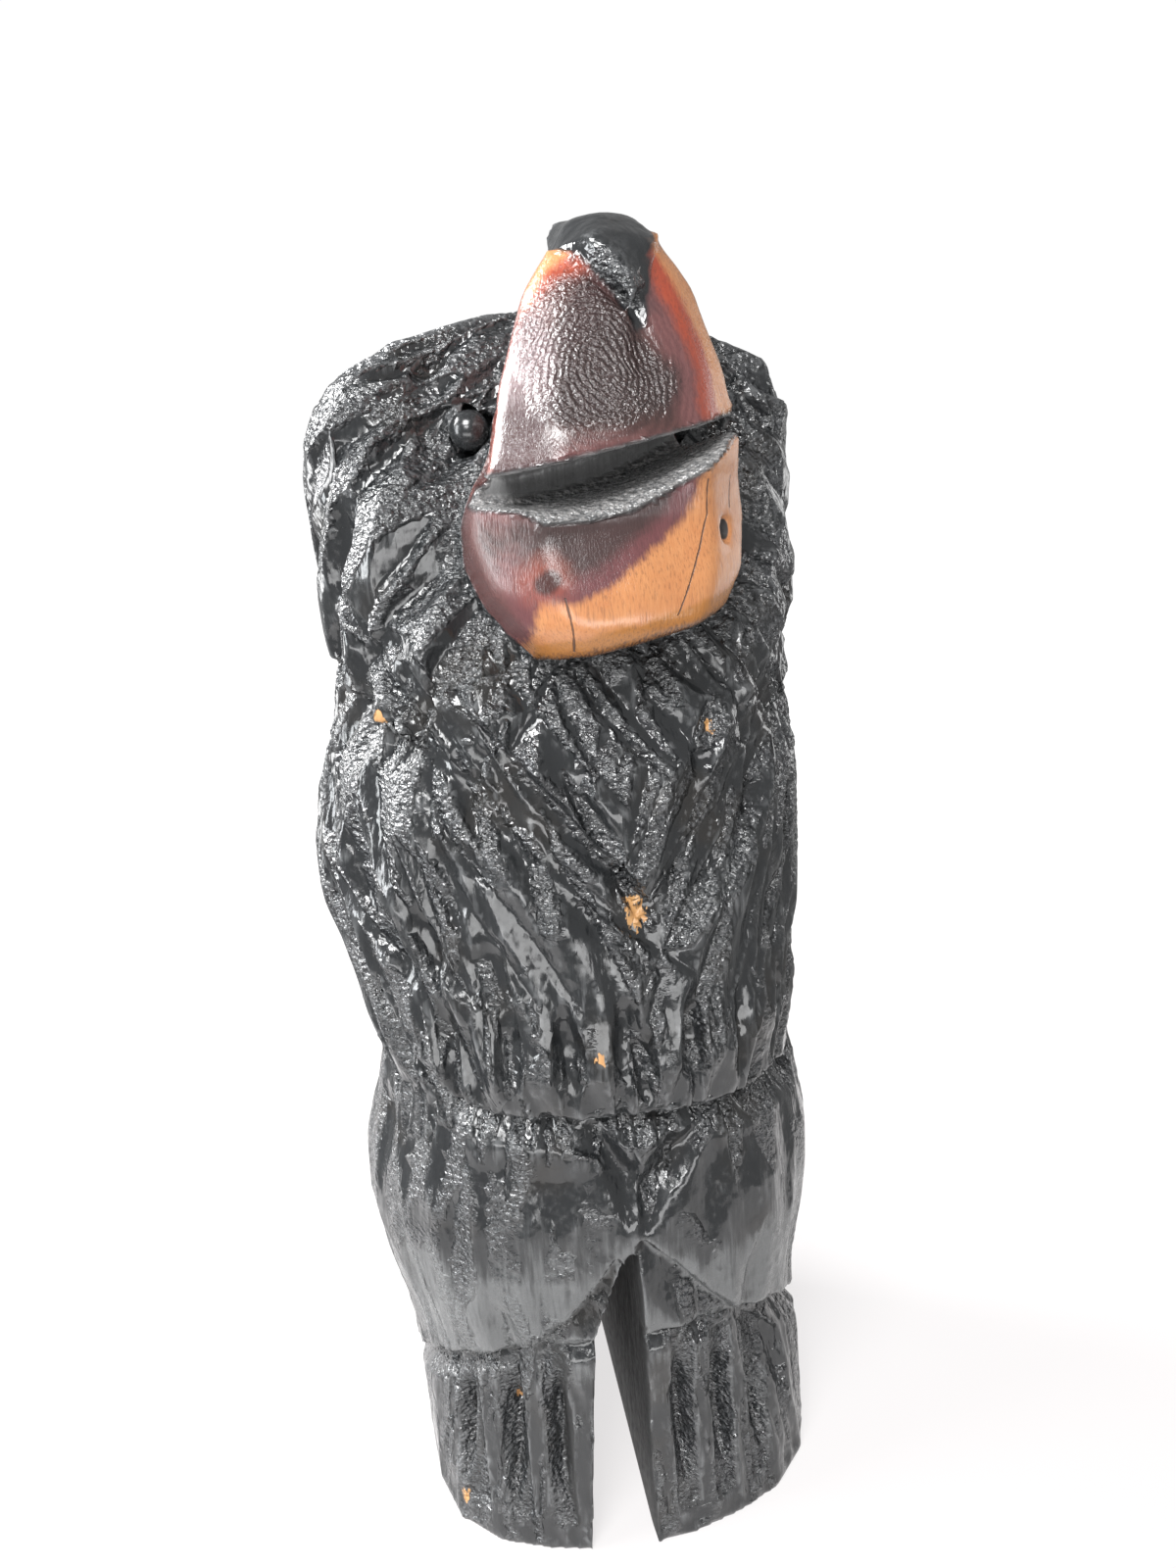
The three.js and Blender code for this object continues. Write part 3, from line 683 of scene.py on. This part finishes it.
def carved_finish():
    """Black varnish on the carving and oiled cedar on the muzzle, parted by what the mesh knows."""
    s = Shader("varnished_cedar")
    spot = s.place()
    x, y, z = s.split(spot)
    cosine, sine = math.cos(HEAD_TURN), math.sin(HEAD_TURN)
    across = (x - AXIS_X) * cosine + (y - AXIS_Y) * sine
    out = (x - AXIS_X) * sine - (y - AXIS_Y) * cosine
    wood, heart, rings = s.attribute("wood"), s.attribute("heart"), s.attribute("rings")
    rough, mouth, above = s.attribute("rough"), s.attribute("mouth"), s.attribute("above")

    # Growth rings round an axis that leans forward through the muzzle
    wander = s.noise(spot, 0.035, 2) - 0.5
    ring_x = across - PITH[0]
    ring_w = (out - PITH[1]) * math.cos(PITH_LEAN) - (z - PITH[2]) * math.sin(PITH_LEAN)
    jitter = s.noise(spot, 0.16, 3, 0.6) - 0.5
    from_pith = (ring_x * ring_x + ring_w * ring_w).root() + wander * 12 + jitter * 4.5
    ring = (from_pith * (2 * math.pi / RING_SPACING)).wave() * 0.5 + 0.5
    fine = s.noise(s.join(across, out * 0.6, z * 0.12), 1.1, 3)
    streak = s.noise(s.join(across * 0.35, out * 0.35, z * 0.35), 0.22, 4, 0.6)
    edge = heart + (streak - 0.5) * 7 + (fine - 0.5) * 3

    # Cedar: dark heartwood, mauve, a red rim on the upper muzzle, then orange sapwood
    dark = s.blend(ring * 0.55, (0.050, 0.022, 0.019), (0.105, 0.046, 0.040))
    mauve = s.blend(ring * 0.5, (0.150, 0.056, 0.056), (0.225, 0.092, 0.088))
    red = s.blend(fine, (0.34, 0.045, 0.020), (0.46, 0.085, 0.035))
    purple = s.blend(fine, (0.135, 0.042, 0.048), (0.20, 0.070, 0.072))
    rim = s.blend(above, purple, red)
    sap = s.blend(fine, (0.62, 0.245, 0.085), (0.74, 0.340, 0.140))
    sap = s.blend((streak - 0.45).most(0) * 1.6, sap, (0.50, 0.155, 0.045))
    depth_low = edge.step(-26, -13)
    depth_mid = edge.step(-12, -5)
    depth_out = edge.step(-2.2, 2.0)
    timber = s.blend(depth_low, dark, mauve)
    timber = s.blend(depth_mid, timber, rim)
    timber = s.blend(depth_out, timber, sap)
    # The middle of the upper muzzle and of the lower jaw is nearly black with char
    below = 1 - above
    char_low = (near_line(across, z, (-26, 490), (8, 494)) + (streak - 0.5) * 14).step(24, 9)
    char_low = char_low * below * edge.step(-4, -11)
    timber = s.blend(rings.most(char_low) * 0.85, timber, (0.040, 0.024, 0.023))
    # The upper muzzle's left bevel is painted a pale grey mauve with upright streaks: a painted sheen,
    # the white reflection it shows, fading to darker mauve towards its lower part
    grain_line = s.noise(s.join(across, out, z * 0.09), 1.5, 3, 0.6)
    painted_bevel_sheen = (across + (z - 530) * -0.18 + (streak - 0.5) * 8).step(-24, -31) * above * z.step(580, 562)
    bevel_sheen_grey = s.blend(grain_line, (0.13, 0.070, 0.074), (0.30, 0.22, 0.228))
    bevel_sheen_grey = s.blend(z.step(552, 532), bevel_sheen_grey, (0.060, 0.030, 0.031))
    timber = s.blend(painted_bevel_sheen * 0.9, timber, bevel_sheen_grey)
    # Red and orange round the knot on the jaw, and a darker gold band along its lower edge: painted
    # shade on the chin's down-facing bevel
    knot = near_line(across, z, (-35, 475), (-33, 477))
    halo = (knot + (streak - 0.5) * 8).step(13, 3) * 0.6 * below
    timber = s.blend(halo, timber, (0.30, 0.055, 0.025))
    middle = (knot + (fine - 0.5) * 2).step(5.0, 2.2) * 0.9 * below
    timber = s.blend(middle, timber, (0.035, 0.010, 0.009))
    chin = z - (CHIN + across * CHIN_SLOPE)
    # The darker gold band is painted shade, where the chin's bevel faces down.
    bevel = (chin + (streak - 0.5) * 5).step(11.5, 8.5) * below * depth_out
    timber = s.blend(bevel * 0.8, timber, (0.46, 0.175, 0.020))
    burnt = (chin + (fine - 0.5) * 9).step(5.5, 0.5)
    timber = s.blend(burnt * 0.85, timber, (0.045, 0.018, 0.012))
    # The left cheek's side: red-brown with fine upright lines
    side_lines = s.noise(s.join(out * 0.9, across * 0.9, z * 0.16), 1.3, 3, 0.6)
    cheek = s.attribute("side")
    low_tint = s.blend(side_lines, (0.055, 0.024, 0.023), (0.20, 0.085, 0.080))
    high_tint = s.blend(side_lines, (0.17, 0.040, 0.030), (0.46, 0.150, 0.115))
    timber = s.blend(cheek * 0.8, timber, s.blend(above, low_tint, high_tint))
    timber = s.blend(0.35 * grain_line.step(0.50, 0.32), timber, (0.06, 0.028, 0.024))
    # Drying cracks and the borer's hole
    crack = functools.reduce(Wire.least, [near_line(across, z, *piece) for piece in CRACKS])
    crack = crack + (s.noise(spot, 0.35, 2) - 0.5) * 0.7
    cracked = crack.step(0.42, 0.12) * below
    timber = s.blend(cracked * 0.85, timber, (0.060, 0.020, 0.012))
    # The inside of the borer's hole is painted near-black: painted shade in the hole.
    hole_x, hole_z = (across - HOLE[0]) * (1 / 2.6), (z - HOLE[1]) * (1 / 3.9)
    hole = (hole_x * hole_x + hole_z * hole_z).step(1.25, 0.8) * below
    timber = s.blend(hole, timber, (0.008, 0.005, 0.004))

    # Varnish: black, a little brown where it is thin, with bare bits of wood
    grain_up = s.noise(s.join(x, y, z * 0.1), 0.45, 3, 0.6)
    cloud = s.noise(spot, 0.03, 3)
    black = s.blend(cloud.step(0.52, 0.72) * 0.4, (0.013, 0.014, 0.015), (0.020, 0.016, 0.012))
    brushing = s.noise(s.join(x, y, z * 0.09), 0.42, 4, 0.6)
    # Grey on the down-facing fronts of the lower thighs, streaked by the brushing: painted sheen, the
    # white floor's reflection painted into the colour.
    thigh_sheen = s.attribute("worn_and_sheen")
    worn_and_sheen = thigh_sheen * 0.9 + (brushing - 0.5) * 1.5 * thigh_sheen.power(0.5)
    worn_and_sheen = worn_and_sheen + (s.noise(s.join(x, y, z * 0.3), 0.05, 3, 0.6) - 0.5) * 0.7
    black = s.blend(worn_and_sheen.step(0.25, 0.85) * 0.9, black, (0.086, 0.089, 0.090))
    # Lighter grey along the convex ridges: painted highlight on the ridges, with some edge wear.
    black = s.blend(s.attribute("ridge") * brushing.step(0.35, 0.6) * 0.75, black, (0.11, 0.113, 0.116))
    # Inside the mouth the colour is mid grey, not the varnish black: painted light in the shaded slot.
    # Its up-facing lip bevel gets lighter speckles: partly worn grey paint, partly painted light on the
    # up-facing faces.
    speckle = s.noise(spot, 0.9, 3, 0.7).step(0.40, 0.62)
    black = s.blend(mouth, black, s.blend(rough * speckle, (0.15, 0.15, 0.15), (0.28, 0.27, 0.265)))
    # Lighter grey in patches on the rough, mostly up-facing flanks.
    rough_flank_grey = rough * s.noise(spot, 0.55, 3, 0.6).step(0.44, 0.60)
    black = s.blend(rough_flank_grey * 0.7, black, (0.062, 0.064, 0.067))
    # The walls between the legs are painted darker than the varnish black: painted shade between the
    # legs.
    between = s.attribute("between")
    black = s.blend(between * 0.9, black, (0.004, 0.004, 0.004))
    bits = s.attribute("bits") + (s.noise(s.join(x, y, z * 0.4), 0.5, 3) - 0.5) * 1.6
    bits = bits.step(0.75, 0.86)
    bare = s.blend(grain_up, (0.30, 0.13, 0.035), (0.42, 0.24, 0.09))
    black = s.blend(bits, black, bare)
    colour = s.blend(wood, black, s.blend(0.46, timber, (0.012, 0.011, 0.011)))

    # Relief: torn end grain where the skin is rough, brush marks where it is smooth
    rows = s.noise(s.join(x * 0.7, y * 0.7, z * 1.2), 0.42, 2, 0.55)
    pits = s.cells(s.join(x * 0.85, y * 0.85, z * 1.1), 0.46)
    brushed = s.noise(s.join(x, y, z * 0.07), 0.55, 3, 0.55)
    pooled = s.noise(s.join(x, y, z * 0.35), 0.14, 2, 0.5)
    on_black = 1 - wood
    torn = (rows * 1.9 + pits * 1.1) * rough
    smooth_skin = (brushed * 0.14 + pooled * 0.9) * (1 - rough * 0.6)
    ring_rows = ring * 0.34 + s.noise(s.join(across, out, z), 0.55, 2, 0.6) * 1.5
    wood_relief = ring_rows * rings + pooled * 0.22 + side_lines * cheek * 0.2 + grain_line * 0.16
    wood_relief = wood_relief - cracked * 0.5
    height = (torn + smooth_skin) * on_black + wood_relief * wood
    shaped = s.bump(height, 1.15 * MM, 1.0)

    smear = (brushed - 0.5) * 0.22
    mottle = (s.noise(spot, 0.3, 2, 0.5) - 0.42).most(0) * 0.6
    varnish_gloss = 0.09 + smear + mottle + mouth * 0.12 + bits * 0.4
    varnish_gloss = varnish_gloss + worn_and_sheen.step(0.3, 0.85) * 0.15 + between * 0.5
    wood_gloss = 0.23 + (streak - 0.5) * 0.25 + cracked * 0.3 + hole * 0.4
    wood_gloss = wood_gloss - rings * 0.11 - painted_bevel_sheen * 0.10
    gloss = (varnish_gloss * on_black + wood_gloss * wood).most(0.06)
    return s.finish(Base_Color=colour, Roughness=gloss, Normal=shaped, IOR=1.62)


def bead_finish():
    s = Shader("bead_gloss")
    spot = s.place()
    dust = s.noise(spot, 0.9, 3)
    colour = s.blend(dust.step(0.45, 0.75) * 0.6, (0.013, 0.014, 0.015), (0.036, 0.038, 0.040))
    gloss = 0.15 + dust * 0.10
    soft = s.bump(s.noise(spot, 0.22, 2), 0.10 * MM, 0.6)
    return s.finish(Base_Color=colour, Roughness=gloss, Normal=soft, IOR=1.55)


# ---------------------------------------------------------------- the beads


def make_bead(node, name):
    """A moulded bead: round in front, with a faint seam round it and a flat on its hidden pole."""
    low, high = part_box(node)
    centre = (low + high) / 2
    radius = (high.y - low.y) / 2 * 0.998
    forward = Vector((math.sin(HEAD_TURN), -math.cos(HEAD_TURN), 0.12)).normalized()
    steps, sides = 36, 64
    back = -0.965 * radius
    profile = []
    for step in range(1, steps):
        angle = math.pi * step / steps
        seam = 0.12 * MM * math.exp(-(((angle - math.pi / 2) / 0.035) ** 2))
        profile.append((math.sin(angle) * (radius - seam), max(math.cos(angle) * radius, back)))
    work = bmesh.new()
    turn = forward.to_track_quat("Z", "Y").to_matrix()
    rings = []
    for reach, depth in profile:
        ring = []
        for side in range(sides):
            angle = 2 * math.pi * side / sides
            local = Vector((reach * math.cos(angle), reach * math.sin(angle), depth))
            ring.append(work.verts.new(centre + turn @ local))
        rings.append(ring)
    for upper, lower in zip(rings, rings[1:]):
        for side in range(sides):
            following = (side + 1) % sides
            work.faces.new((upper[side], lower[side], lower[following], upper[following]))
    for ring, depth in ((rings[0], radius), (rings[-1], back)):
        pole = work.verts.new(centre + turn @ Vector((0, 0, depth)))
        for side in range(sides):
            work.faces.new((ring[side], ring[(side + 1) % sides], pole))
    bmesh.ops.recalc_face_normals(work, faces=work.faces)
    mesh = bpy.data.meshes.new(name)
    work.to_mesh(mesh)
    work.free()
    mesh.shade_smooth()
    bead = bpy.data.objects.new(name, mesh)
    bpy.context.scene.collection.objects.link(bead)
    return bead


# ---------------------------------------------------------------- studio


FLOOR_NEAR, FLOOR_FAR, FLOOR_SIDES = 0.45, 7.0, 96


def make_floor():
    """A round pale floor. Gloss sees only what lies near the feet: further off the room was dark."""
    s = Shader("pale_paper")
    spot = s.place()
    tint = s.blend(s.noise(spot, 0.004, 2), (0.16, 0.155, 0.155), (0.17, 0.165, 0.165))
    far = s.node("VectorMath", operation="LENGTH", inputs=[spot], output="Value").step(450, 1500)
    glow = s.blend(far, (0.74, 0.725, 0.725), (1.0, 0.995, 0.995))
    paper = s.finish(Base_Color=tint, Roughness=0.8, Emission_Color=glow, Emission_Strength=1.0)
    turns = np.linspace(0, 2 * math.pi, FLOOR_SIDES + 1)[:-1]
    for name, reaches in (("floor_near", [FLOOR_NEAR]), ("floor_far", [FLOOR_NEAR, FLOOR_FAR])):
        work = bmesh.new()
        rings = [
            [work.verts.new((reach * math.cos(turn), reach * math.sin(turn), 0)) for turn in turns]
            for reach in reaches
        ]
        if len(rings) == 1:
            work.faces.new(rings[0])
        else:
            for side in range(FLOOR_SIDES):
                after = (side + 1) % FLOOR_SIDES
                work.faces.new((rings[0][side], rings[1][side], rings[1][after], rings[0][after]))
        mesh = bpy.data.meshes.new(name)
        work.to_mesh(mesh)
        work.free()
        mesh.materials.append(paper)
        floor = bpy.data.objects.new(name, mesh)
        bpy.context.scene.collection.objects.link(floor)
        floor.visible_glossy = name == "floor_near"


def make_room():
    """White all round to the eye, and dim to everything else."""
    world = bpy.data.worlds.new("room")
    world.use_nodes = True
    tree = world.node_tree
    background = tree.nodes["Background"]
    background.inputs["Color"].default_value = (1.0, 1.0, 1.0, 1)
    seen = tree.nodes.new("ShaderNodeLightPath")
    strength = tree.nodes.new("ShaderNodeMapRange")
    strength.inputs["To Min"].default_value = 0.38
    strength.inputs["To Max"].default_value = 1.02
    tree.links.new(seen.outputs["Is Camera Ray"], strength.inputs["Value"])
    tree.links.new(strength.outputs["Result"], background.inputs["Strength"])
    bpy.context.scene.world = world


def make_light(name, place, aim_height, size, radiance, colour):
    lamp = bpy.data.lights.new(name, "AREA")
    lamp.shape = "RECTANGLE"
    lamp.size, lamp.size_y = size
    lamp.energy = radiance * math.pi * size[0] * size[1]
    lamp.color = colour
    light = bpy.data.objects.new(name, lamp)
    light.location = place
    aim = Vector((0, 0, aim_height)) - Vector(place)
    light.rotation_euler = aim.to_track_quat("-Z", "Y").to_euler()
    bpy.context.scene.collection.objects.link(light)


# The log's width, and its share of the camera's distance along the ground
LOG_WIDTH, SHARE_OF_DISTANCE = 230, 0.423


def make_camera():
    """The photograph's camera: 1200 x 1600, a 27 mm lens on a 36 mm side, looking 18 degrees down."""
    side, pitch, roll = math.radians(8), math.radians(18), math.radians(-3.5)
    distance = LOG_WIDTH / SHARE_OF_DISTANCE
    height = 0.990 * distance
    pan = math.atan2(-18, 1200)
    place = np.array([-distance * math.sin(side), -distance * math.cos(side), height])
    heading = math.atan2(-place[1], -place[0]) + pan
    ahead = np.array([
        math.cos(heading) * math.cos(pitch), math.sin(heading) * math.cos(pitch), -math.sin(pitch),
    ])
    level = np.array([math.sin(heading), -math.cos(heading), 0])
    above = np.cross(level, ahead)
    right = math.cos(roll) * level + math.sin(roll) * above
    up = -math.sin(roll) * level + math.cos(roll) * above
    lens = bpy.data.cameras.new("camera")
    lens.lens, lens.sensor_width, lens.sensor_fit = 27, 36, "AUTO"
    lens.clip_start, lens.clip_end = 0.02, 30
    camera = bpy.data.objects.new("camera", lens)
    spot = (place + np.array([AXIS_X, AXIS_Y, 0])) * MM
    columns = Matrix((right, up, -ahead)).transposed().to_4x4()
    camera.matrix_world = Matrix.Translation(Vector(spot)) @ columns
    bpy.context.scene.collection.objects.link(camera)
    bpy.context.scene.camera = camera


# Soft boxes, in metres: a name, where each stands, the height it aims at, its size and its radiance
WHITE, COOL = (1, 1, 1), (0.95, 0.98, 1)
SOFT_BOXES = [
    ("top_bank", (-0.50, -0.96, 1.60), 0.38, (0.72, 0.65), 26.0, WHITE),
    ("high_left", (-1.08, 0.46, 1.20), 0.38, (0.6, 0.7), 40.0, WHITE),
    ("front_box", (-0.62, -1.66, 1.20), 0.45, (0.70, 0.32), 17.0, WHITE),
    ("left_box", (-1.50, -0.25, 0.70), 0.30, (0.45, 1.0), 13.0, COOL),
    ("back_left", (-1.2, 0.75, 0.6), 0.3, (0.5, 1.2), 7.0, WHITE),
    ("back_right", (1.25, 0.75, 0.5), 0.25, (0.4, 0.9), 2.4, WHITE),
    ("low_front", (-0.1, -1.05, 0.10), 0.28, (1.7, 0.30), 5.0, WHITE),
]


def make_studio():
    make_camera()
    make_floor()
    make_room()
    for box in SOFT_BOXES:
        make_light(*box)
    bpy.context.scene.view_settings.view_transform = "Standard"
    bpy.context.scene.view_settings.look = "None"


# ---------------------------------------------------------------- assembly

make_studio()

bear = make_bear()
bear.data.materials.append(carved_finish())
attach(bear, "root")
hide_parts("bear")

bead_material = bead_finish()
for node, name in (("eye_right", "bead_right"), ("eye_left", "bead_left")):
    bead = make_bead(node, name)
    bead.data.materials.append(bead_material)
    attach(bead, "root")
    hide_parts(node)
